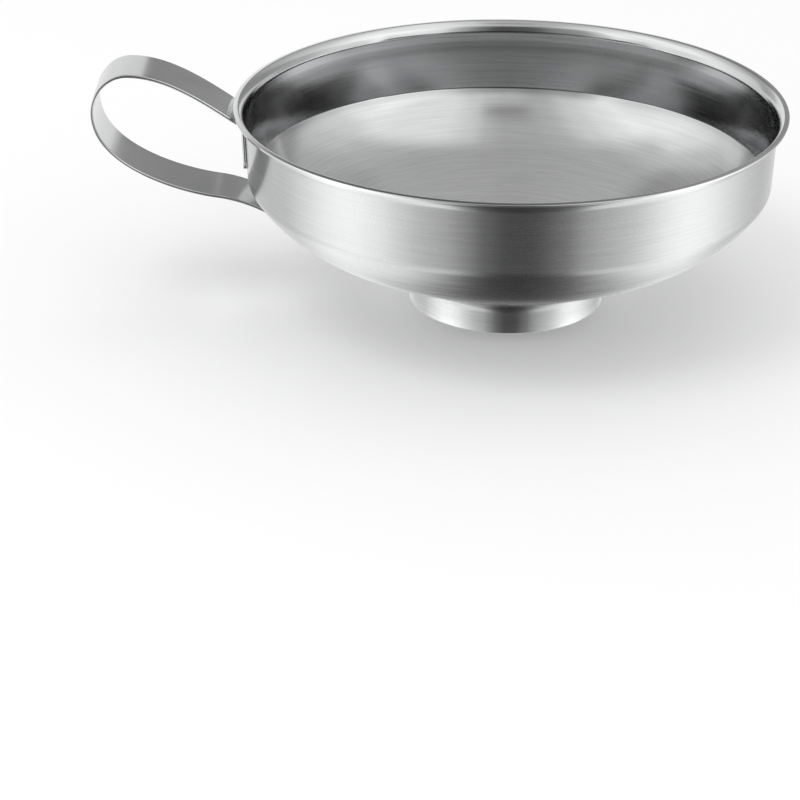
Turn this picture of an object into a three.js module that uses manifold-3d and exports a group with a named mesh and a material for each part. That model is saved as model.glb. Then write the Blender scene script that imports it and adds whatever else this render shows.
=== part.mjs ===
// Wide-mouth canning funnel: one spun stainless sheet (flared lip, upright wall, domed floor and
// short spout) with a bent strap handle spot-welded to its side.
//
// Frame: millimetres, +Z up, origin at the centre of the spout's lower end, handle towards -X.
import * as THREE from 'three';
import Module from 'manifold-3d';
import { mergeVertices } from 'three/addons/utils/BufferGeometryUtils.js';

// Funnel, outer side of the sheet
const totalHeight = 52;
const rimRadius = 69;
const lipDrop = 2.9;
const wallTopRadius = 66.3;
const wallFootRadius = 65.8;
const wallFootHeight = 33.3;
const kneeRadius = 59.4;
const kneeHeight = 23.8;
const spoutRootHeight = 7;
const spoutRadius = 24.8;
const sheet = 0.6;

// Rounding of the sheet's bends, on its outer side
const lipBend = 1.2;
const wallFootBend = 1.6;
const kneeBend = 40.5;
const spoutBend = 3;

// Handle strap: its centre line runs in the upright plane through the funnel's axis
const strapWidth = 16;
const strapThickness = 0.8;
const footGap = 0.3;
const strapBend = 1.8;
const upperFootTip = 37;
const upperBendHeight = 48.2;
const lowerFootStart = 57;
const lowerFootTip = 44.8;
const legStart = new THREE.Vector2(68.9, 49.7);
const loopTop = new THREE.Vector2(94.5, 61.1);
const loopEnd = new THREE.Vector2(103.5, 51.2);
const loopWaist = new THREE.Vector2(73.2, 29.8);
const waistSlope = THREE.MathUtils.degToRad(8);
const upperFootRound = 3;
const lowerFootRound = 6;

// How far the handle's curves lean on their straight tangents at each of those points
const legReach = 10;
const topReachBack = 8.8;
const topReachAhead = 5.5;
const endReachUp = 4.5;
const endReachDown = 13.5;
const waistReachBack = 10;
const waistReachAhead = 6;
const lowerFootReach = 5;

// Spot welds between the strap's feet and the funnel
const weldRadius = 1.6;
const weldLength = 0.2;
const upperWeldHeights = [44.5, 40];
const lowerWeldRadii = [54, 48.5];

// Fineness of the facets
const turnSegments = 72;
const lipSteps = 2;
const wallFootSteps = 2;
const kneeSteps = 6;
const spoutSteps = 4;
const strapBendSteps = 5;
const upperLegSteps = 8;
const loopFrontSteps = 8;
const loopUnderSteps = 12;
const lowerLegSteps = 6;
const footRoundSegments = 8;
const weldSegments = 16;

// The arc that replaces one corner of a line
function roundedCorner(before, corner, after, radius, steps) {
  const back = before.clone().sub(corner).normalize();
  const ahead = after.clone().sub(corner).normalize();
  const halfAngle = Math.acos(back.dot(ahead)) / 2;
  const middle = back.clone().add(ahead).setLength(radius / Math.sin(halfAngle));
  const centre = corner.clone().add(middle);
  const start = corner.clone().addScaledVector(back, radius / Math.tan(halfAngle));
  const turn = Math.sign(ahead.cross(back)) * (Math.PI - 2 * halfAngle);
  const points = [];
  for (let i = 0; i <= steps; i += 1) {
    points.push(start.clone().rotateAround(centre, turn * i / steps));
  }
  return points;
}

// A line moved sideways: to the left of its direction where distance is positive
function offsetLine(line, distance) {
  return line.map((point, i) => {
    const before = line[Math.max(i - 1, 0)];
    const after = line[Math.min(i + 1, line.length - 1)];
    const arriving = i > 0 ? point.clone().sub(before).normalize() : after.clone().sub(point).normalize();
    const leaving = i < line.length - 1 ? after.clone().sub(point).normalize() : arriving;
    const along = arriving.clone().add(leaving).normalize();
    const stretch = distance / along.dot(arriving);
    return new THREE.Vector2(point.x - along.y * stretch, point.y + along.x * stretch);
  });
}

// The point of a line where its x or y takes a value
function pointOnLine(line, key, value) {
  for (let i = 1; i < line.length; i += 1) {
    const share = (value - line[i - 1][key]) / (line[i][key] - line[i - 1][key]);
    if (share >= 0 && share <= 1) {
      return line[i - 1].clone().lerp(line[i], share);
    }
  }
  throw new Error(`the line never reaches ${key} = ${value}`);
}

// Radius and height of the funnel's outer side, from the rim down to the spout's end
function funnelOuterLine() {
  const rim = new THREE.Vector2(rimRadius, totalHeight - sheet * Math.SQRT1_2);
  const lipFoot = new THREE.Vector2(wallTopRadius, totalHeight - lipDrop);
  const wallFoot = new THREE.Vector2(wallFootRadius, wallFootHeight);
  const knee = new THREE.Vector2(kneeRadius, kneeHeight);
  const spoutRoot = new THREE.Vector2(spoutRadius, spoutRootHeight);
  const spoutEnd = new THREE.Vector2(spoutRadius, 0);
  return [
    rim,
    ...roundedCorner(rim, lipFoot, wallFoot, lipBend, lipSteps),
    ...roundedCorner(lipFoot, wallFoot, knee, wallFootBend, wallFootSteps),
    ...roundedCorner(wallFoot, knee, spoutRoot, kneeBend, kneeSteps),
    ...roundedCorner(knee, spoutRoot, spoutEnd, spoutBend, spoutSteps),
    spoutEnd,
  ];
}

function funnelGeometry(outerLine) {
  const innerLine = offsetLine(outerLine, -sheet).reverse();
  const section = [...outerLine, ...innerLine, outerLine[0]].reverse();
  return new THREE.LatheGeometry(section, turnSegments).rotateX(Math.PI / 2);
}

// Centre line of the strap, as distance from the axis and height, from the upper foot's tip
// through the loop to the lower foot's tip
function strapCentreLine(outerLine) {
  const footLine = offsetLine(outerLine, footGap + strapThickness / 2);
  const upperTip = pointOnLine(footLine, 'y', upperFootTip);
  const upperBend = pointOnLine(footLine, 'y', upperBendHeight);
  const lowerStart = pointOnLine(footLine, 'x', lowerFootStart);
  const lowerTip = pointOnLine(footLine, 'x', lowerFootTip);
  const lowerFoot = footLine.filter((p) => p.x < lowerFootStart && p.x > lowerFootTip);
  const lowerFootWay = lowerFoot[0].clone().sub(lowerStart).normalize();
  const legWay = legStart.clone().sub(upperBend).normalize();
  const waistWay = new THREE.Vector2(-Math.cos(waistSlope), -Math.sin(waistSlope));
  const upperLeg = new THREE.CubicBezierCurve(
    legStart,
    legStart.clone().addScaledVector(legWay, legReach),
    new THREE.Vector2(loopTop.x - topReachBack, loopTop.y),
    loopTop,
  );
  const loopFront = new THREE.CubicBezierCurve(
    loopTop,
    new THREE.Vector2(loopTop.x + topReachAhead, loopTop.y),
    new THREE.Vector2(loopEnd.x, loopEnd.y + endReachUp),
    loopEnd,
  );
  const loopUnder = new THREE.CubicBezierCurve(
    loopEnd,
    new THREE.Vector2(loopEnd.x, loopEnd.y - endReachDown),
    loopWaist.clone().addScaledVector(waistWay, -waistReachBack),
    loopWaist,
  );
  const lowerLeg = new THREE.CubicBezierCurve(
    loopWaist,
    loopWaist.clone().addScaledVector(waistWay, waistReachAhead),
    lowerStart.clone().addScaledVector(lowerFootWay, -lowerFootReach),
    lowerStart,
  );
  return [
    upperTip,
    ...roundedCorner(upperTip, upperBend, legStart, strapBend, strapBendSteps),
    ...upperLeg.getPoints(upperLegSteps),
    ...loopFront.getPoints(loopFrontSteps).slice(1),
    ...loopUnder.getPoints(loopUnderSteps).slice(1),
    ...lowerLeg.getPoints(lowerLegSteps).slice(1),
    ...lowerFoot,
    lowerTip,
  ];
}

// What is cut off a foot's square corner to round it: a block with a hollow quarter circle,
// whose xWay and yWay point out of the corner
function cornerCutter(corner, xWay, yWay, radius) {
  const margin = 1;
  const depth = 6;
  const outline = new THREE.Shape();
  outline.moveTo(-radius, margin);
  outline.lineTo(margin, margin);
  outline.lineTo(margin, -radius);
  outline.absarc(-radius, -radius, radius, 0, Math.PI / 2, false);
  const geometry = new THREE.ExtrudeGeometry(outline, {
    depth,
    bevelEnabled: false,
    curveSegments: footRoundSegments,
  });
  geometry.translate(0, 0, -depth / 2);
  const zWay = new THREE.Vector3().crossVectors(xWay, yWay);
  const place = new THREE.Matrix4().makeBasis(xWay, yWay, zWay).setPosition(corner);
  return geometry.applyMatrix4(place);
}

// The two cutters of one foot, whose tip is the first of the two points given
function footCutters(tip, next, radius) {
  const tipWay = new THREE.Vector3(tip.x - next.x, 0, tip.y - next.y).normalize();
  const leftWay = new THREE.Vector3(0, 1, 0);
  const rightWay = new THREE.Vector3(0, -1, 0);
  const left = new THREE.Vector3(tip.x, strapWidth / 2, tip.y);
  const right = new THREE.Vector3(tip.x, -strapWidth / 2, tip.y);
  return [
    cornerCutter(left, tipWay, leftWay, radius),
    cornerCutter(right, rightWay, tipWay, radius),
  ];
}

// Boolean cuts need a solid whose faces share their corner points
function toSolid(wasm, geometry) {
  const bare = geometry.clone();
  bare.deleteAttribute('normal');
  bare.deleteAttribute('uv');
  const mergeDistance = 1e-4;
  const welded = mergeVertices(bare, mergeDistance);
  return new wasm.Manifold(new wasm.Mesh({
    numProp: 3,
    vertProperties: new Float32Array(welded.attributes.position.array),
    triVerts: new Uint32Array(welded.index.array),
  }));
}

function toGeometry(solid) {
  const mesh = solid.getMesh();
  const geometry = new THREE.BufferGeometry();
  geometry.setAttribute('position', new THREE.BufferAttribute(mesh.vertProperties, 3));
  geometry.setIndex(new THREE.BufferAttribute(mesh.triVerts, 1));
  geometry.computeVertexNormals();
  return geometry;
}

function strapGeometry(wasm, centreLine) {
  const upperSide = offsetLine(centreLine, strapThickness / 2);
  const lowerSide = offsetLine(centreLine, -strapThickness / 2).reverse();
  const outline = new THREE.Shape([...upperSide, ...lowerSide]);
  const flat = new THREE.ExtrudeGeometry(outline, { depth: strapWidth, bevelEnabled: false });
  flat.translate(0, 0, -strapWidth / 2);
  flat.rotateX(Math.PI / 2);
  const cutters = [
    ...footCutters(centreLine[0], centreLine[1], upperFootRound),
    ...footCutters(centreLine.at(-1), centreLine.at(-2), lowerFootRound),
  ];
  const cut = cutters.reduce((solid, cutter) => solid.subtract(toSolid(wasm, cutter)), toSolid(wasm, flat));
  return toGeometry(cut);
}

function steel(color, roughness) {
  return new THREE.MeshStandardMaterial({ color, roughness, metalness: 1 });
}

// One weld nugget, a short disc standing square between the funnel and a foot
function weldMesh(name, gapLine, key, value) {
  const stepAlong = 0.5;
  const place = pointOnLine(gapLine, key, value);
  const beyond = pointOnLine(gapLine, key, value - stepAlong);
  const along = beyond.sub(place).normalize();
  const across = new THREE.Vector3(-along.y, 0, along.x);
  const disc = new THREE.CylinderGeometry(weldRadius, weldRadius, weldLength, weldSegments);
  const mesh = new THREE.Mesh(disc, steel(0x8e8c88, 0.6));
  mesh.name = name;
  mesh.position.set(place.x, 0, place.y);
  mesh.quaternion.setFromUnitVectors(new THREE.Vector3(0, 1, 0), across);
  return mesh;
}

const wasm = await Module();
wasm.setup();

const outerLine = funnelOuterLine();
const funnel = new THREE.Mesh(funnelGeometry(outerLine), steel(0xb9bbbd, 0.28));
funnel.name = 'funnel_bowl';

const handle = new THREE.Mesh(strapGeometry(wasm, strapCentreLine(outerLine)), steel(0xaeb0b2, 0.32));
handle.name = 'handle_strap';

const handleSide = new THREE.Group();
handleSide.rotation.z = Math.PI;
handleSide.add(handle);
const gapLine = offsetLine(outerLine, footGap / 2);
upperWeldHeights.forEach((height, i) => {
  handleSide.add(weldMesh(`upper_weld_${i + 1}`, gapLine, 'y', height));
});
lowerWeldRadii.forEach((radius, i) => {
  handleSide.add(weldMesh(`lower_weld_${i + 1}`, gapLine, 'x', radius));
});

const group = new THREE.Group();
group.add(funnel, handleSide);

export default group;
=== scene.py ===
"""Looks of the wide-mouth canning funnel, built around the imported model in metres.

The spun bowl and the bent strap are modelled here in fine detail over their CAD nodes; the four
spot welds stay as they are and only get a material.
"""
import math

import bpy
from mathutils import Matrix, Vector


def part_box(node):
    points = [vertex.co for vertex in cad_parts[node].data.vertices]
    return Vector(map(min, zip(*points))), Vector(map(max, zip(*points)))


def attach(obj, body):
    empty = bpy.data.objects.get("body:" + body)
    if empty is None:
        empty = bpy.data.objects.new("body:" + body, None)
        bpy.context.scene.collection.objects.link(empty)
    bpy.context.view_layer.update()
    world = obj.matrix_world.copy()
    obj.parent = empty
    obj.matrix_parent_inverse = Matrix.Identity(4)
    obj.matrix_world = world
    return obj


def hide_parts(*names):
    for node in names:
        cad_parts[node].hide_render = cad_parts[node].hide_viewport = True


MM = 0.001

# Funnel, outer side of the sheet
WALL_TOP = Vector((66.3, 49.1)) * MM
WALL_FOOT = Vector((65.8, 33.3)) * MM
KNEE = Vector((59.4, 23.8)) * MM
SPOUT_ROOT = Vector((24.8, 7.0)) * MM
SHEET = 0.6 * MM
LIP_SLOPES = [math.radians(a) for a in (66, 36, -6)]
LIP_RISE = 1.863 * MM
LIP_ROLL = 1.03 * MM

# Bend radii, on the outer side of the sheet
LIP_BEND = 1.8 * MM
LIP_CURVE = 3.536 * MM
LIP_CREST = 0.2 * MM
WALL_FOOT_BEND = 4.0 * MM
WALL_FOOT_FOLD = 1.0 * MM  # the same bend on the inner side, where it shows as a crisp fold
KNEE_BEND = 38 * MM
SPOUT_BEND = 3.0 * MM
CUT_EDGE = 0.16 * MM

# Handle strap
STRAP_THICKNESS = 0.8 * MM
STRAP_EDGE = 0.34 * MM
FOOT_GAP = 0.08 * MM
STRAP_BEND = 1.8 * MM
UPPER_FOOT_TIP = 36.3 * MM
UPPER_BEND_HEIGHT = 48.2 * MM
LOWER_FOOT_START = 57 * MM
LOWER_FOOT_TIP = 44.8 * MM
LEG_START = Vector((68.9, 49.7)) * MM
LOOP_TOP = Vector((94.5, 61.1)) * MM
LOOP_END = Vector((103.5, 51.2)) * MM
LOOP_WAIST = Vector((73.2, 29.8)) * MM
WAIST_SLOPE = math.radians(8)
UPPER_FOOT_ROUND = 3 * MM
LOWER_FOOT_ROUND = 6 * MM
UPPER_FOOT_LENGTH = 10 * MM
LOWER_FOOT_LENGTH = 13 * MM
FOOT_FADE = 5 * MM  # over this length the strap goes from hugging the bowl to flat
FOOT_LOWEST = 8 * MM  # the feet never come as low as the spout
WAY_STEP = 0.25 * MM  # how far apart two points are taken to find which way the strap runs

# How far the loop runs straight on, at each of its points, before it turns
LEG_REACH = 10 * MM
TOP_REACH_BEFORE = 8.8 * MM
TOP_REACH_AFTER = 5.5 * MM
END_REACH_BEFORE = 4.5 * MM
END_REACH_AFTER = 13.5 * MM
WAIST_REACH_BEFORE = 10 * MM
WAIST_REACH_AFTER = 6 * MM
FOOT_REACH = 5 * MM

# Lighter edges and painted light: over what length a lighter edge fades (along the strap a painted
# highlight), how near a fold the painted highlight and painted shade stay, and how strong the painted shade
# is
RIM_FADE = 0.5 * MM
SPOUT_FADE = 0.4 * MM
STRAP_FADE = 0.25 * MM
STRAP_FLAT_WEAR = 0.257
FOLD_REACH = 3 * SHEET
FOOT_FOLD_PAINTED_SHADE = 0.7
LIP_FOLD_PAINTED_SHADE = 0.8

# Painted shade inside the bowl, soft darker rings up the inner wall: height in mm, and how much of the
# colour is left there
PAINTED_SHADE_TOP = 52 * MM
INNER_WALL_PAINTED_SHADE = ((0, 1), (31, 1), (34, 0.76), (41, 0.8), (43.2, 0.75), (45, 0.58), (46.4, 0.68),
               (47.3, 0.95), (48.6, 0.95), (52, 0.9))

# Fineness of the meshes
TURN_SEGMENTS = 288
STRAP_ACROSS = 12
STRAP_CORNER_STEPS = 5
LEG_STEPS = 40
LOOP_TOP_STEPS = 30
LOOP_END_STEPS = 60
WAIST_STEPS = 24
UPPER_TIP_STEPS = 14
STRAP_BODY_STEPS = 240
LOWER_TIP_STEPS = 18
ARC_STEP = math.radians(3)
LINE_STEP = 4 * MM

# Camera: where it stands and how it is turned
CAMERA_PLACE = Vector((-29.88, -558.92, 247.64)) * MM
CAMERA_HEADING = math.radians(0.277)
CAMERA_PITCH = math.radians(-26.495)
CAMERA_ROLL = math.radians(0.229)
CAMERA_LENS = 106.1

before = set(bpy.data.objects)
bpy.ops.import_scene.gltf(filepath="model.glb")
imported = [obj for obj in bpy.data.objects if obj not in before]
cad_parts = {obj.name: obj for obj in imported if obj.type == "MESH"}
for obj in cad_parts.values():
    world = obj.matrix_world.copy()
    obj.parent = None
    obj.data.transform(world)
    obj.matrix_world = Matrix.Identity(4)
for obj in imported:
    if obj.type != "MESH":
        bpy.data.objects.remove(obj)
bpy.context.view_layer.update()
RIM_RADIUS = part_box("funnel_bowl")[1].x
strap_low, strap_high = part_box("handle_strap")
STRAP_WIDTH = strap_high.y - strap_low.y


# ---------------------------------------------------------------- outlines

def turned(way, angle):
    return Vector((way.x * math.cos(angle) - way.y * math.sin(angle),
                   way.x * math.sin(angle) + way.y * math.cos(angle)))


def left_of(way):
    return Vector((-way.y, way.x))


def cross(a, b):
    return a.x * b.y - a.y * b.x


def corner_arc(before, corner, after, radius):
    """Points and normals (to the left of the path) of the arc that rounds one corner."""
    arriving = (corner - before).normalized()
    leaving = (after - corner).normalized()
    turn = math.atan2(cross(arriving, leaving), arriving.dot(leaving))
    start = corner - arriving * radius * math.tan(abs(turn) / 2)
    side = math.copysign(1, turn)
    centre = start + left_of(arriving) * radius * side
    steps = max(2, math.ceil(abs(turn) / ARC_STEP))
    out = []
    for i in range(steps + 1):
        way = turned(arriving, turn * i / steps)
        out.append((centre - left_of(way) * radius * side, left_of(way)))
    return out


def filled_line(points):
    """The same path with long straight stretches divided."""
    out = [points[0]]
    for (a, na), (b, nb) in zip(points, points[1:]):
        count = max(1, math.ceil((b - a).length / LINE_STEP))
        for i in range(1, count):
            out.append((a.lerp(b, i / count), na.lerp(nb, i / count).normalized()))
        out.append((b, nb))
    return out


def offset_corners(corners, distance):
    """Corners of a path moved to its left."""
    out = []
    for i, corner in enumerate(corners):
        arriving = (corner - corners[i - 1]).normalized() if i else None
        leaving = (corners[i + 1] - corner).normalized() if i + 1 < len(corners) else arriving
        arriving = arriving or leaving
        middle = (left_of(arriving) + left_of(leaving)).normalized()
        out.append(corner + middle * distance / middle.dot(left_of(arriving)))
    return out


def outer_corners():
    """Outer side of the sheet from the rim's edge to the spout's end, with its bend radii."""
    curve = WALL_TOP + turned(Vector((1, 0)), LIP_SLOPES[0]) * LIP_RISE
    crest = curve + turned(Vector((1, 0)), LIP_SLOPES[1]) * LIP_ROLL
    rim_way = turned(Vector((1, 0)), LIP_SLOPES[2])
    rim_reach = RIM_RADIUS + SHEET * math.sin(LIP_SLOPES[2]) - crest.x
    rim = crest + rim_way * rim_reach / rim_way.x
    corners = [rim, crest, curve, WALL_TOP, WALL_FOOT, KNEE, SPOUT_ROOT, Vector((SPOUT_ROOT.x, 0))]
    radii = [CUT_EDGE, LIP_CREST, LIP_CURVE, LIP_BEND, WALL_FOOT_BEND, KNEE_BEND, SPOUT_BEND, CUT_EDGE]
    return corners, radii


def outer_path():
    """Points and normals of the outer side alone, from the rim down."""
    corners, radii = outer_corners()
    path = [(corners[0], left_of((corners[1] - corners[0]).normalized()))]
    for i in range(1, len(corners) - 1):
        path += corner_arc(corners[i - 1], corners[i], corners[i + 1], radii[i])
    path.append((corners[-1], path[-1][1]))
    return filled_line(path)


def bowl_outline():
    """Closed outline of the sheet: the outer side down, the inner side back up."""
    corners, radii = outer_corners()
    inner = offset_corners(corners, -SHEET)
    inner_radii = list(radii)
    for i in range(1, len(corners) - 1):
        turn = cross(corners[i] - corners[i - 1], corners[i + 1] - corners[i])
        inner_radii[i] = radii[i] + math.copysign(SHEET, turn)
    inner_radii[corners.index(WALL_FOOT)] = WALL_FOOT_FOLD
    around = corners + inner[::-1]
    around_radii = radii + inner_radii[::-1]
    path = []
    for i, corner in enumerate(around):
        after = around[(i + 1) % len(around)]
        path += corner_arc(around[i - 1], corner, after, around_radii[i])
    path.append(path[0])
    return filled_line(path)[:-1]


# ---------------------------------------------------------------- meshes

def mesh_object(name, points, faces, normals, materials, indices, wear_and_painted_light):
    """A smooth mesh with its true normals and a value at each point that makes it lighter (above 0) or
    darker (below 0): lighter edges, painted highlight and painted shade.
    """
    mesh = bpy.data.meshes.new(name)
    mesh.from_pydata(points, [], [facing_out(face, points, normals) for face in faces])
    for material in materials:
        mesh.materials.append(material)
    mesh.polygons.foreach_set("material_index", indices)
    mesh.polygons.foreach_set("use_smooth", [True] * len(faces))
    wear_and_light_layer = mesh.attributes.new("wear_and_painted_light", "FLOAT", "POINT")
    wear_and_light_layer.data.foreach_set("value", wear_and_painted_light)
    mesh.update()
    mesh.normals_split_custom_set_from_vertices(normals)
    piece = bpy.data.objects.new(name, mesh)
    bpy.context.scene.collection.objects.link(piece)
    return piece


def facing_out(face, points, normals):
    """The face with its corners in the order that makes it face along its points' normals."""
    a, b, c = (Vector(points[i]) for i in face[:3])
    wanted = sum((Vector(normals[i]) for i in face), Vector((0, 0, 0)))
    return face if (b - a).cross(c - b).dot(wanted) > 0 else face[::-1]


def make_bowl(materials):
    """The spun sheet, turned about the upright axis."""
    outline = bowl_outline()
    count = len(outline)
    points, normals, wear_and_painted_light, faces, indices = [], [], [], [], []
    for i in range(TURN_SEGMENTS):
        angle = 2 * math.pi * i / TURN_SEGMENTS
        c, s = math.cos(angle), math.sin(angle)
        for p, n in outline:
            points.append((p.x * c, p.x * s, p.y))
            normals.append((n.x * c, n.x * s, n.y))
            wear_and_painted_light.append(bowl_wear_and_painted_light(p, n))
    for i in range(TURN_SEGMENTS):
        j = (i + 1) % TURN_SEGMENTS
        for k in range(count):
            m = (k + 1) % count
            faces.append((i * count + k, i * count + m, j * count + m, j * count + k))
            middle = (outline[k][0] + outline[m][0]) / 2
            normal = outline[k][1] + outline[m][1]
            indices.append(bowl_side(middle, normal))
    return mesh_object("bowl", points, faces, normals, materials, indices, wear_and_painted_light)


def peak(value, start, top, end):
    """Rises from 0 at the start to 1 at the top and falls back to 0 at the end."""
    if not start < value < end:
        return 0.0
    return (value - start) / (top - start) if value < top else (end - value) / (end - top)


def turn_share(normal, before, corner, after):
    """How far a normal has turned, from 0 to 1, round one corner of the inner side."""
    first = -left_of((corner - before).normalized())
    last = -left_of((after - corner).normalized())
    turn = math.atan2(cross(first, last), first.dot(last))
    return math.atan2(cross(first, normal), first.dot(normal)) / turn


def bowl_wear_and_painted_light(point, normal):
    """How much lighter (above 0) or darker (below 0) the sheet is made: the rim's edge and the spout's end
    are lighter; inside, the fold at the wall's foot gets a painted highlight on its floor side and a thin
    line of painted shade on its wall side, and the fold under the lip holds a thin line of painted shade."""
    rim = math.exp(-abs(RIM_RADIUS - point.x) / RIM_FADE) if point.y > WALL_TOP.y else 0
    end = math.exp(-point.y / SPOUT_FADE)
    fold = 0.0
    if normal.x < 0 and (point - WALL_FOOT).length < FOLD_REACH:
        share = turn_share(normal, WALL_TOP, WALL_FOOT, KNEE)
        # Painted highlight on the fold's floor side, painted shade on its wall side.
        fold = peak(share, 0.45, 0.75, 1.0) - FOOT_FOLD_PAINTED_SHADE * peak(share, 0.0, 0.2, 0.45)
    elif normal.x < 0 and (point - WALL_TOP).length < FOLD_REACH:
        curve = WALL_TOP + turned(Vector((1, 0)), LIP_SLOPES[0]) * LIP_RISE
        # A thin line of painted shade in the fold under the lip.
        fold = -LIP_FOLD_PAINTED_SHADE * peak(turn_share(normal, WALL_FOOT, WALL_TOP, curve), 0.0, 0.35, 1.0)
    return max(-1.0, min(1.0, rim + end + fold))


def bowl_side(middle, normal):
    """Material slot of a face: 0 outside, 1 inside, 2 the lip."""
    if middle.y > WALL_TOP.y + 0.15 * MM:
        return 2
    inwards = normal.x < 0 if middle.y < SPOUT_ROOT.y or middle.y > WALL_FOOT.y else normal.y > 0
    return 1 if inwards else 0


def bezier(a, b, c, d, steps):
    out = []
    for i in range(steps + 1):
        t = i / steps
        u = 1 - t
        out.append(a * u**3 + b * (3 * u * u * t) + c * (3 * u * t * t) + d * t**3)
    return out


def point_at(line, axis, value):
    """The first point of a line where its x (0) or y (1) takes a value."""
    for a, b in zip(line, line[1:]):
        if b[axis] != a[axis] and 0 <= (value - a[axis]) / (b[axis] - a[axis]) <= 1:
            return a.lerp(b, (value - a[axis]) / (b[axis] - a[axis]))
    raise ValueError("the line never gets there")


def strap_centre_line():
    """Distance from the axis and height, from the upper foot's tip to the lower foot's."""
    away = FOOT_GAP + STRAP_THICKNESS / 2
    foot_line = [p + n * away for p, n in outer_path() if p.y < WALL_TOP.y - LIP_BEND]
    wall_way = (WALL_FOOT - WALL_TOP).normalized()
    wall_start = WALL_TOP + left_of(wall_way) * away
    foot_line.insert(0, wall_start)
    upper_tip = point_at(foot_line, 1, UPPER_FOOT_TIP)
    upper_bend = point_at(foot_line, 1, UPPER_BEND_HEIGHT)
    lower_start = point_at(foot_line, 0, LOWER_FOOT_START)
    lower_tip = point_at(foot_line, 0, LOWER_FOOT_TIP)
    lower_foot = [p for p in foot_line if LOWER_FOOT_TIP < p.x < LOWER_FOOT_START and p.y > FOOT_LOWEST]
    lower_way = (lower_foot[0] - lower_start).normalized()
    leg_way = (LEG_START - upper_bend).normalized()
    waist_way = -turned(Vector((1, 0)), WAIST_SLOPE)
    bend = [p for p, n in corner_arc(upper_tip, upper_bend, LEG_START, STRAP_BEND)]
    out, up = Vector((1, 0)), Vector((0, 1))
    leg = bezier(LEG_START, LEG_START + leg_way * LEG_REACH,
                 LOOP_TOP - out * TOP_REACH_BEFORE, LOOP_TOP, LEG_STEPS)
    top = bezier(LOOP_TOP, LOOP_TOP + out * TOP_REACH_AFTER,
                 LOOP_END + up * END_REACH_BEFORE, LOOP_END, LOOP_TOP_STEPS)
    end = bezier(LOOP_END, LOOP_END - up * END_REACH_AFTER,
                 LOOP_WAIST - waist_way * WAIST_REACH_BEFORE, LOOP_WAIST, LOOP_END_STEPS)
    waist = bezier(LOOP_WAIST, LOOP_WAIST + waist_way * WAIST_REACH_AFTER,
                   lower_start - lower_way * FOOT_REACH, lower_start, WAIST_STEPS)
    return [upper_tip, *bend, *leg, *top[1:], *end[1:], *waist[1:], *lower_foot, lower_tip]


def strap_section(half_width, half_thickness, edge):
    """Rounded section of the strap: across and up, with its normals. The flats are divided, so that
    the feet can follow the round of the bowl all the way across."""
    corners = [Vector((half_width, -half_thickness)), Vector((half_width, half_thickness)),
               Vector((-half_width, half_thickness)), Vector((-half_width, -half_thickness))]
    out = []
    for i, corner in enumerate(corners):
        start = math.radians(-90 + 90 * i)
        centre = Vector((corner.x - math.copysign(edge, corner.x),
                         corner.y - math.copysign(edge, corner.y)))
        for k in range(STRAP_CORNER_STEPS + 1):
            way = turned(Vector((1, 0)), start + math.radians(90) * k / STRAP_CORNER_STEPS)
            out.append((centre + way * edge, way))
        if corner.x * corner.y > 0:
            flat = math.copysign(half_width - edge, corner.x)
            for k in range(1, STRAP_ACROSS):
                across = Vector((flat * (1 - 2 * k / STRAP_ACROSS), corner.y))
                out.append((across, Vector((0, math.copysign(1, corner.y)))))
    return out


def along(line):
    """Distance from the start to each point of a line."""
    out = [0.0]
    for a, b in zip(line, line[1:]):
        out.append(out[-1] + (b - a).length)
    return out


def at_distance(line, distances, wanted):
    for i in range(1, len(line)):
        if wanted <= distances[i] or i == len(line) - 1:
            share = (wanted - distances[i - 1]) / (distances[i] - distances[i - 1])
            return line[i - 1].lerp(line[i], share)


def end_half_width(half_width, radius, from_tip):
    """Half width of a foot near its rounded tip."""
    if from_tip >= radius:
        return half_width
    return half_width - radius + math.sqrt(max(0.0, radius**2 - (radius - from_tip) ** 2))


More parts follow.
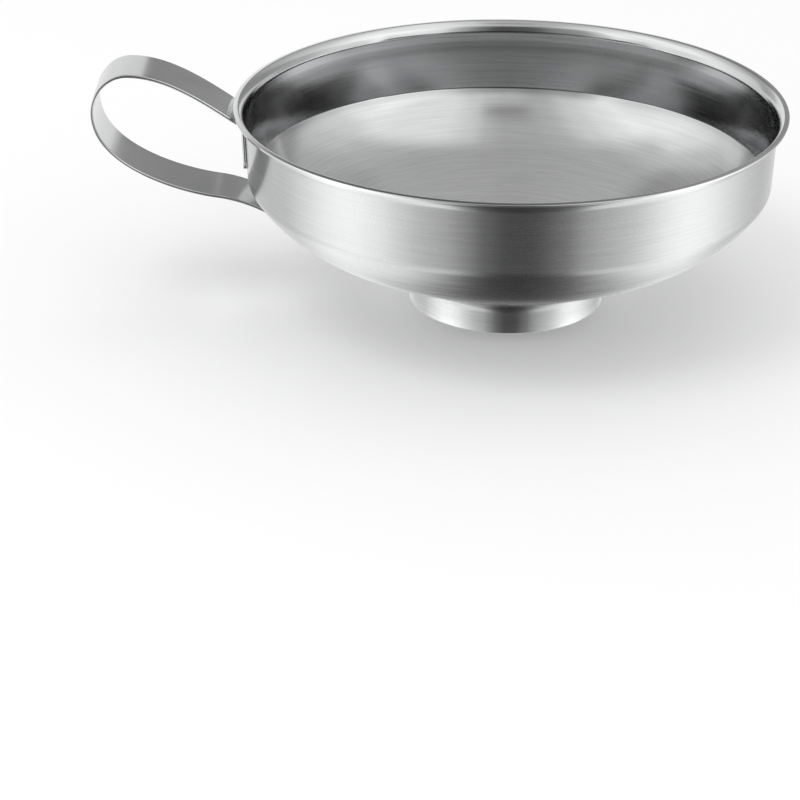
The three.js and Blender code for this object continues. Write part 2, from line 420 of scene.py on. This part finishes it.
def make_strap(materials):
    """The strap, swept along its centre line with rounded long edges and rounded feet."""
    line = strap_centre_line()
    distances = along(line)
    total = distances[-1]
    stations = []
    for i in range(UPPER_TIP_STEPS + 1):
        stations.append(UPPER_FOOT_ROUND * (1 - math.cos(math.radians(90) * i / UPPER_TIP_STEPS)))
    body = total - UPPER_FOOT_ROUND - LOWER_FOOT_ROUND
    for i in range(1, STRAP_BODY_STEPS):
        stations.append(UPPER_FOOT_ROUND + body * i / STRAP_BODY_STEPS)
    for i in range(LOWER_TIP_STEPS + 1):
        turn = math.radians(90) * i / LOWER_TIP_STEPS
        stations.append(total - LOWER_FOOT_ROUND * (1 - math.sin(turn)))
    half = STRAP_WIDTH / 2
    points, normals, wear_and_painted_light, faces, indices = [], [], [], [], []
    rings = []
    for d in stations:
        here = at_distance(line, distances, d)
        back = at_distance(line, distances, max(0.0, d - WAY_STEP))
        ahead = at_distance(line, distances, min(total, d + WAY_STEP))
        way = (ahead - back).normalized()
        up = left_of(way)
        width = min(end_half_width(half, UPPER_FOOT_ROUND, d),
                    end_half_width(half, LOWER_FOOT_ROUND, total - d))
        rings.append((here, way, up, width))
    distances_from_tips = [(d, total - d) for d in stations]
    size = len(strap_section(half, STRAP_THICKNESS / 2, STRAP_EDGE))
    for number, (here, way, up, width) in enumerate(rings):
        before = rings[max(number - 1, 0)]
        after = rings[min(number + 1, len(rings) - 1)]
        run = (after[0] - before[0]).length
        narrowing = (before[3] - after[3]) / run if run else 0
        for place, normal in strap_section(width, STRAP_THICKNESS / 2, STRAP_EDGE):
            point = here + up * place.y
            lean = way * narrowing * abs(normal.x) + up * normal.y
            hugging = foot_hug(distances_from_tips[number])
            turn = math.asin(place.x / point.x)
            points.append((-point.x * (1 - hugging * (1 - math.cos(turn))), place.x, point.y))
            c, s = math.cos(turn * hugging), math.sin(turn * hugging)
            vector = Vector((-lean.x * c + normal.x * s, lean.x * s + normal.x * c, lean.y)).normalized()
            normals.append(tuple(vector))
            wear_and_painted_light.append(strap_wear_and_painted_highlight(place, width))
    for i in range(len(rings) - 1):
        for k in range(size):
            m = (k + 1) % size
            faces.append((i * size + k, i * size + m, (i + 1) * size + m, (i + 1) * size + k))
    faces += cap_ends(points, normals, wear_and_painted_light, rings, size)
    indices = [0] * len(faces)
    return mesh_object("strap", points, faces, normals, materials, indices, wear_and_painted_light)


def cap_ends(points, normals, wear_and_painted_light, rings, size):
    """Flat ends of the two feet, each a ring of its own points so that its edge stays crisp."""
    faces = []
    for ring, sign in ((0, -1), (len(rings) - 1, 1)):
        way = rings[ring][1] * sign
        first = len(points)
        for k in range(size):
            points.append(points[ring * size + k])
            normals.append((-way.x, 0.0, way.y))
            # The cut ends get the full painted highlight.
            wear_and_painted_light.append(1.0)
        cap = tuple(range(first, first + size))
        faces.append(cap if sign > 0 else cap[::-1])
    return faces


def foot_hug(from_tips):
    """How closely the strap follows the round of the bowl: 1 on the feet, 0 on the loop."""
    upper = (UPPER_FOOT_LENGTH + FOOT_FADE - from_tips[0]) / FOOT_FADE
    lower = (LOWER_FOOT_LENGTH + FOOT_FADE - from_tips[1]) / FOOT_FADE
    share = max(0.0, min(1.0, max(upper, lower)))
    return share * share * (3 - 2 * share)


def strap_wear_and_painted_highlight(place, width):
    """How much lighter the strap is made: a painted highlight on its long edges, and a little lighter on its
    flats.
    """
    return max(STRAP_FLAT_WEAR, math.exp(-(width - abs(place.x)) / STRAP_FADE))


# ---------------------------------------------------------------- materials

class Graph:
    """Short names for building a node tree."""

    def __init__(self, tree):
        self.tree = tree
        tree.nodes.clear()

    def node(self, kind, **settings):
        made = self.tree.nodes.new(kind)
        for name, value in settings.items():
            setattr(made, name, value)
        return made

    def put(self, socket, value):
        if isinstance(value, bpy.types.NodeSocket):
            self.tree.links.new(value, socket)
        else:
            socket.default_value = value

    def math(self, operation, *values, clamp=False):
        made = self.node("ShaderNodeMath", operation=operation, use_clamp=clamp)
        for socket, value in zip(made.inputs, values):
            self.put(socket, value)
        return made.outputs[0]

    def vector(self, x, y, z):
        made = self.node("ShaderNodeCombineXYZ")
        for socket, value in zip(made.inputs, (x, y, z)):
            self.put(socket, value)
        return made.outputs[0]

    def split(self, vector):
        made = self.node("ShaderNodeSeparateXYZ")
        self.put(made.inputs[0], vector)
        return made.outputs

    def noise(self, vector, scale, detail, roughness):
        made = self.node("ShaderNodeTexNoise")
        self.put(made.inputs["Vector"], vector)
        self.put(made.inputs["Scale"], scale)
        self.put(made.inputs["Detail"], detail)
        self.put(made.inputs["Roughness"], roughness)
        return made.outputs["Fac"]

    def remap(self, value, low, high, to_low, to_high, smooth=False):
        made = self.node("ShaderNodeMapRange", clamp=True)
        made.interpolation_type = "SMOOTHSTEP" if smooth else "LINEAR"
        for socket, number in zip(made.inputs, (value, low, high, to_low, to_high)):
            self.put(socket, number)
        return made.outputs[0]

    def ramp(self, value, stops, ease="EASE"):
        made = self.node("ShaderNodeValToRGB")
        made.color_ramp.interpolation = ease
        elements = made.color_ramp.elements
        while len(elements) > 1:
            elements.remove(elements[-1])
        elements[0].position = stops[0][0]
        elements[0].color = (stops[0][1],) * 3 + (1,)
        for place, level in stops[1:]:
            elements.new(place).color = (level,) * 3 + (1,)
        self.put(made.inputs[0], value)
        return made.outputs[0]

    def mix(self, share, a, b):
        made = self.node("ShaderNodeMix", data_type="RGBA")
        self.put(made.inputs[0], share)
        self.put(made.inputs[6], a)
        self.put(made.inputs[7], b)
        return made.outputs[2]


def grey(level, warmth=0.0):
    return (level * (1 + warmth), level, level * (1 - warmth), 1)


def steel(name, level, roughness, anisotropy, grain, painted_shade_rings=((0, 1), (1, 1)), warmth=-0.006):
    """Brushed steel whose scratches run around the upright axis.

    grain is (colour swing, roughness swing, bump height in metres); the argument after it gives (height in
    mm, how much of the colour is left) for painted shade in soft darker rings up the wall."""
    material = bpy.data.materials.new(name)
    material.use_nodes = True
    g = Graph(material.node_tree)
    place = g.node("ShaderNodeTexCoord").outputs["Object"]
    x, y, z = g.split(place)
    radius = g.math("SQRT", g.math("ADD", g.math("MULTIPLY", x, x), g.math("MULTIPLY", y, y)))
    cosine = g.math("DIVIDE", x, radius)
    sine = g.math("DIVIDE", y, radius)
    down = g.math("ADD", z, radius)

    def lines(around, across, detail):
        at = g.vector(g.math("MULTIPLY", cosine, around), g.math("MULTIPLY", sine, around),
                      g.math("MULTIPLY", down, across))
        return g.noise(at, scale=1.0, detail=detail, roughness=0.6)

    fine = lines(around=2.5, across=2900.0, detail=1.5)
    broad = lines(around=5.0, across=900.0, detail=1.0)
    smudge = g.noise(place, scale=38.0, detail=3.0, roughness=0.55)
    both = g.math("ADD", g.math("MULTIPLY", fine, 0.65), g.math("MULTIPLY", broad, 0.35))
    streak = g.remap(both, 0.34, 0.66, -1.0, 1.0)
    # The mesh's value: above 0 lightens and smooths the rim's edge and the spout's end and paints a
    # highlight on the inner fold; below 0 paints shade into the folds.
    wear_and_painted_light = g.node("ShaderNodeAttribute", attribute_name="wear_and_painted_light").outputs["Fac"]
    rubbed_and_painted_highlight = g.math("MULTIPLY", g.math("MAXIMUM", wear_and_painted_light, 0.0), g.remap(broad, 0.3, 0.7, 0.5, 1.0))
    painted_crease_shade = g.math("MAXIMUM", g.math("MULTIPLY", wear_and_painted_light, -1.0), 0.0)

    colour_swing, rough_swing, height = grain
    dark = grey(level * (1 - colour_swing), warmth)
    light = grey(level * (1 + colour_swing), warmth)
    colour = g.mix(g.remap(streak, -1.0, 1.0, 0.0, 1.0), dark, light)
    # Painted shade: soft darker rings up the inner wall, by height.
    height_share = g.remap(z, 0.0, PAINTED_SHADE_TOP, 0.0, 1.0)
    ring = g.ramp(height_share, [(at * MM / PAINTED_SHADE_TOP, left) for at, left in painted_shade_rings])
    colour = g.mix(ring, grey(0.0), colour)
    # Lighter where the value is above 0, with a painted highlight on the inner fold; painted shade where it
    # is below 0.
    colour = g.mix(rubbed_and_painted_highlight, colour, grey(min(0.9, level * 1.2), warmth))
    colour = g.mix(painted_crease_shade, colour, grey(0.2 * level, warmth))

    rough = g.math("ADD", roughness, g.math("MULTIPLY", streak, rough_swing))
    rough = g.math("ADD", rough, g.remap(smudge, 0.35, 0.7, -0.012, 0.03))
    rough = g.math("SUBTRACT", rough, g.math("MULTIPLY", rubbed_and_painted_highlight, roughness * 0.45), clamp=True)

    bump = g.node("ShaderNodeBump")
    bump.inputs["Strength"].default_value = 1.0
    bump.inputs["Distance"].default_value = height
    g.put(bump.inputs["Height"], both)

    tangent = g.node("ShaderNodeTangent", direction_type="RADIAL", axis="Z")
    shader = g.node("ShaderNodeBsdfPrincipled")
    shader.inputs["Metallic"].default_value = 1.0
    shader.inputs["Anisotropic"].default_value = anisotropy
    shader.inputs["Anisotropic Rotation"].default_value = 0.25
    g.put(shader.inputs["Base Color"], colour)
    g.put(shader.inputs["Roughness"], rough)
    g.put(shader.inputs["Normal"], bump.outputs[0])
    g.put(shader.inputs["Tangent"], tangent.outputs[0])
    out = g.node("ShaderNodeOutputMaterial")
    g.put(out.inputs[0], shader.outputs[0])
    return material


def strap_steel():
    """Satin strip: very fine lines along the strap, smooth faces, a painted highlight on its edges and ends.
    """
    material = bpy.data.materials.new("strap_satin")
    material.use_nodes = True
    g = Graph(material.node_tree)
    place = g.node("ShaderNodeTexCoord").outputs["Object"]
    x, y, z = g.split(place)
    at = g.vector(g.math("MULTIPLY", x, 60.0), g.math("MULTIPLY", y, 5200.0), g.math("MULTIPLY", z, 60.0))
    fine = g.noise(at, scale=1.0, detail=2.0, roughness=0.5)
    smudge = g.noise(place, scale=90.0, detail=3.0, roughness=0.5)
    wear_and_painted_light = g.node("ShaderNodeAttribute", attribute_name="wear_and_painted_light").outputs["Fac"]
    rubbed_and_painted_highlight = g.math("MULTIPLY", wear_and_painted_light, g.remap(smudge, 0.35, 0.65, 0.6, 1.0))
    colour = g.mix(g.remap(fine, 0.3, 0.7, 0.0, 1.0), grey(0.535, -0.006), grey(0.565, -0.006))
    # A painted highlight along the strap's edges and ends, and its flats a little lighter.
    colour = g.mix(rubbed_and_painted_highlight, colour, grey(0.9, -0.006))
    rough = g.math("ADD", 0.17, g.remap(smudge, 0.3, 0.7, -0.015, 0.02))
    rough = g.math("ADD", rough, g.remap(fine, 0.3, 0.7, -0.01, 0.01))
    bump = g.node("ShaderNodeBump")
    bump.inputs["Strength"].default_value = 1.0
    bump.inputs["Distance"].default_value = 0.0006 * MM
    g.put(bump.inputs["Height"], fine)
    shader = g.node("ShaderNodeBsdfPrincipled")
    shader.inputs["Metallic"].default_value = 1.0
    g.put(shader.inputs["Base Color"], colour)
    g.put(shader.inputs["Roughness"], rough)
    g.put(shader.inputs["Normal"], bump.outputs[0])
    out = g.node("ShaderNodeOutputMaterial")
    g.put(out.inputs[0], shader.outputs[0])
    return material


def weld_steel():
    """Spot welds: dull, heat-tinted, mottled."""
    material = bpy.data.materials.new("weld_dull")
    material.use_nodes = True
    g = Graph(material.node_tree)
    place = g.node("ShaderNodeTexCoord").outputs["Object"]
    mottle = g.noise(place, scale=1800.0, detail=4.0, roughness=0.6)
    pits = g.noise(place, scale=6000.0, detail=2.0, roughness=0.6)
    colour = g.mix(g.remap(mottle, 0.35, 0.65, 0.0, 1.0), (0.33, 0.30, 0.27, 1), (0.50, 0.48, 0.46, 1))
    bump = g.node("ShaderNodeBump")
    bump.inputs["Strength"].default_value = 1.0
    bump.inputs["Distance"].default_value = 0.02 * MM
    g.put(bump.inputs["Height"], pits)
    shader = g.node("ShaderNodeBsdfPrincipled")
    shader.inputs["Metallic"].default_value = 1.0
    g.put(shader.inputs["Base Color"], colour)
    g.put(shader.inputs["Roughness"], g.remap(mottle, 0.3, 0.7, 0.42, 0.62))
    g.put(shader.inputs["Normal"], bump.outputs[0])
    out = g.node("ShaderNodeOutputMaterial")
    g.put(out.inputs[0], shader.outputs[0])
    return material


# ---------------------------------------------------------------- room

WHITE = 1.6
PLAIN_LEVEL = 0.97  # what anything but a mirroring surface sees
FRONT_BELOW = 0.65  # how much of its level the camera's side keeps, straight below

# Elevations in degrees over which one part of the studio gives way to the next
BELOW_TO_LOW = (-52, -36)
LOW_TO_MIDDLE = (3, 9)
MIDDLE_TO_HIGH = (20, 28)
HIGH_TO_CEILING = (44, 52)

# The levels below were set from readings of how bright the metal is in each direction it mirrors. They are
# not worked out from a simpler description of a room.

# Level of the studio around the object, in parts of WHITE, by compass angle from the camera's side
# (right is positive): what a wall mirrors
RING_LOW = [
    (-180, 0.62), (-160, 0.6), (-135, 0.5), (-114, 0.5), (-100, 0.7), (-90, 0.86), (-78, 0.98), (-68, 0.96),
    (-60, 0.85), (-50, 0.63), (-40, 0.45), (-30, 0.36), (-22, 0.23), (-12, 0.12), (-3, 0.07), (8, 0.07),
    (22, 0.15), (31, 0.26), (40, 0.37), (50, 0.49), (60, 0.65), (70, 0.87), (80, 0.98), (92, 0.94),
    (106, 0.76), (119, 0.57), (135, 0.45), (150, 0.5), (160, 0.62), (180, 0.62)]
# A little above the horizon
RING_MIDDLE = [
    (-180, 0.62), (-161, 0.6), (-155, 0.36), (-146, 0.3), (-134, 0.53), (-120, 0.62), (-105, 0.72),
    (-85, 0.6), (-72, 0.66), (-65, 0.25), (-56, 0.07), (-48, 0.1), (-41, 0.2), (-34, 0.07), (-12, 0.02),
    (9, 0.02), (24, 0.07), (33, 0.24), (40, 0.12), (55, 0.12), (60, 0.88), (68, 0.5), (82, 0.55),
    (104, 0.35), (122, 0.27), (135, 0.22), (160, 0.21), (178, 0.21), (180, 0.6)]
# Half way up
RING_HIGH = [
    (-180, 0.07), (-172, 0.1), (-160, 0.24), (-145, 0.3), (-129, 0.48), (-112, 0.68), (-98, 0.79),
    (-70, 0.72), (-54, 0.83), (-46, 0.5), (-38, 0.27), (-27, 0.22), (-12, 0.08), (4, 0.06),
    (12, 0.16), (20, 0.34),
    (33, 0.74), (40, 0.82), (52, 0.87), (66, 0.88), (80, 0.78), (96, 0.6), (112, 0.49), (130, 0.37),
    (160, 0.28), (180, 0.07)]
# Level straight below, from the left (-1) to the right (1)
BELOW = [(-0.6, 1.0), (-0.34, 1.0), (-0.29, 0.85), (-0.22, 0.36), (-0.14, 0.12), (-0.05, 0.06), (0.05, 0.05),
         (0.14, 0.07), (0.22, 0.11), (0.3, 0.24), (0.4, 0.85), (0.5, 1.0)]
# Level overhead from the left to the right, on the camera's side and at the back, and the dark gap on
# the camera's side from far (-1) to overhead (0)
CEILING_FRONT = [(-0.65, 0.85), (-0.5, 0.7), (-0.38, 0.58), (-0.22, 0.4), (-0.1, 0.36), (0.02, 0.36),
                 (0.1, 0.42), (0.17, 0.56), (0.32, 0.7), (0.5, 0.7), (0.65, 0.72)]
CEILING_BACK = [(-0.7, 0.5), (-0.5, 0.46), (-0.3, 0.37), (0.0, 0.33), (0.3, 0.35), (0.5, 0.4), (0.7, 0.45)]
CEILING_GAP = [(-0.62, 1.35), (-0.53, 1.15), (-0.47, 0.85), (-0.4, 0.65), (-0.3, 0.88), (-0.2, 1.0)]


def studio_world():
    """What the metal mirrors: a dark camera side, two softboxes, a grey back and a lit ceiling.

    Anything else sees an even pale grey."""
    world = bpy.data.worlds.new("studio")
    bpy.context.scene.world = world
    world.use_nodes = True
    world.cycles.sampling_method = "NONE"
    g = Graph(world.node_tree)
    x, y, z = g.split(g.node("ShaderNodeTexCoord").outputs["Generated"])
    compass = g.math("ARCTAN2", x, g.math("MULTIPLY", y, -1.0))
    compass = g.remap(compass, -math.pi, math.pi, 0.0, 1.0)
    climb = g.math("ARCSINE", z)
    low = g.ramp(compass, [(a / 360 + 0.5, v) for a, v in RING_LOW])
    middle = g.ramp(compass, [(a / 360 + 0.5, v) for a, v in RING_MIDDLE])
    high = g.ramp(compass, [(a / 360 + 0.5, v) for a, v in RING_HIGH])
    right = g.remap(x, -1.0, 1.0, 0.0, 1.0)
    back = g.remap(y, -1.0, 1.0, 0.0, 1.0)
    below = g.ramp(right, [(a / 2 + 0.5, v) for a, v in BELOW])
    towards_back = g.remap(y, -0.1, 0.35, 0.0, 1.0, smooth=True)
    below = g.mix(towards_back, g.math("MULTIPLY", below, FRONT_BELOW), below)
    front_ceiling = g.ramp(right, [(a / 2 + 0.5, v) for a, v in CEILING_FRONT])
    back_ceiling = g.ramp(right, [(a / 2 + 0.5, v) for a, v in CEILING_BACK])
    gap = g.ramp(back, [(a / 2 + 0.5, v) for a, v in CEILING_GAP])
    gap = g.mix(g.remap(g.math("ABSOLUTE", x), 0.05, 0.2, 0.0, 1.0, smooth=True), gap, grey(1.0))
    ceiling = g.mix(g.remap(y, 0.0, 0.3, 0.0, 1.0, smooth=True), front_ceiling, back_ceiling)
    ceiling = g.math("MULTIPLY", ceiling, gap)

    def rising(start, end):
        return g.remap(climb, math.radians(start), math.radians(end), 0.0, 1.0, smooth=True)

    around = g.mix(rising(*BELOW_TO_LOW), below, low)
    around = g.mix(rising(*LOW_TO_MIDDLE), around, middle)
    around = g.mix(rising(*MIDDLE_TO_HIGH), around, high)
    around = g.mix(rising(*HIGH_TO_CEILING), around, ceiling)
    mirrored = g.node("ShaderNodeBackground")
    g.put(mirrored.inputs[0], around)
    mirrored.inputs[1].default_value = WHITE
    plain = g.node("ShaderNodeBackground")
    plain.inputs[0].default_value = grey(1.0)
    plain.inputs[1].default_value = PLAIN_LEVEL
    choose = g.node("ShaderNodeMixShader")
    g.put(choose.inputs[0], g.node("ShaderNodeLightPath").outputs["Is Glossy Ray"])
    g.put(choose.inputs[1], plain.outputs[0])
    g.put(choose.inputs[2], mirrored.outputs[0])
    out = g.node("ShaderNodeOutputWorld")
    g.put(out.inputs[0], choose.outputs[0])


def make_floor():
    """A plain pale floor, hidden from mirroring surfaces."""
    mesh = bpy.data.meshes.new("floor")
    reach = 4.0
    mesh.from_pydata([(-reach, -reach, 0), (reach, -reach, 0), (reach, reach, 0), (-reach, reach, 0)],
                     [], [(0, 1, 2, 3)])
    floor = bpy.data.objects.new("floor", mesh)
    floor.location.z = -0.02 * MM
    material = bpy.data.materials.new("floor_pale")
    material.use_nodes = True
    shader = material.node_tree.nodes["Principled BSDF"]
    shader.inputs["Base Color"].default_value = grey(0.93)
    shader.inputs["Roughness"].default_value = 0.9
    shader.inputs["Specular IOR Level"].default_value = 0.0
    mesh.materials.append(material)
    floor.visible_glossy = False
    bpy.context.scene.collection.objects.link(floor)


def soft_light(name, place, aim, size, power):
    light = bpy.data.lights.new(name, "AREA")
    light.shape = "DISK"
    light.size = size
    light.energy = power
    lamp = bpy.data.objects.new(name, light)
    lamp.location = place
    lamp.rotation_euler = (aim - place).to_track_quat("-Z", "Y").to_euler()
    lamp.visible_glossy = False
    bpy.context.scene.collection.objects.link(lamp)


def make_camera():
    data = bpy.data.cameras.new("camera")
    data.lens = CAMERA_LENS
    data.sensor_width = 36
    data.clip_start = 0.01
    data.clip_end = 50
    camera = bpy.data.objects.new("camera", data)
    turn = (Matrix.Rotation(-CAMERA_HEADING, 4, "Z")
            @ Matrix.Rotation(math.radians(90) + CAMERA_PITCH, 4, "X")
            @ Matrix.Rotation(CAMERA_ROLL, 4, "Z"))
    camera.matrix_world = Matrix.Translation(CAMERA_PLACE) @ turn
    bpy.context.scene.collection.objects.link(camera)
    bpy.context.scene.camera = camera


# ---------------------------------------------------------------- scene

make_camera()
studio_world()
make_floor()
soft_light("key", place=Vector((-0.5, -0.4, 1.1)), aim=Vector((0, 0, 0.03)), size=0.6, power=2.2)
bpy.context.scene.view_settings.view_transform = "Standard"
bpy.context.scene.cycles.blur_glossy = 0.0
bpy.context.scene.cycles.glossy_bounces = 12

outside = steel("bowl_outside", level=0.62, roughness=0.25, anisotropy=0.98,
                grain=(0.06, 0.03, 0.0016 * MM))
# The inside carries the painted shade rings up its wall.
inside = steel("bowl_inside", level=0.62, roughness=0.12, anisotropy=0.5,
               grain=(0.065, 0.03, 0.0015 * MM), painted_shade_rings=INNER_WALL_PAINTED_SHADE)
lip = steel("bowl_lip", level=0.66, roughness=0.14, anisotropy=0.5, grain=(0.03, 0.02, 0.001 * MM))
bowl = make_bowl([outside, inside, lip])
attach(bowl, "root")
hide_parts("funnel_bowl")

strap = make_strap([strap_steel()])
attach(strap, "root")
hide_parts("handle_strap")

weld_material = weld_steel()
for name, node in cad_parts.items():
    if "weld" in name:
        node.data.materials.clear()
        node.data.materials.append(weld_material)
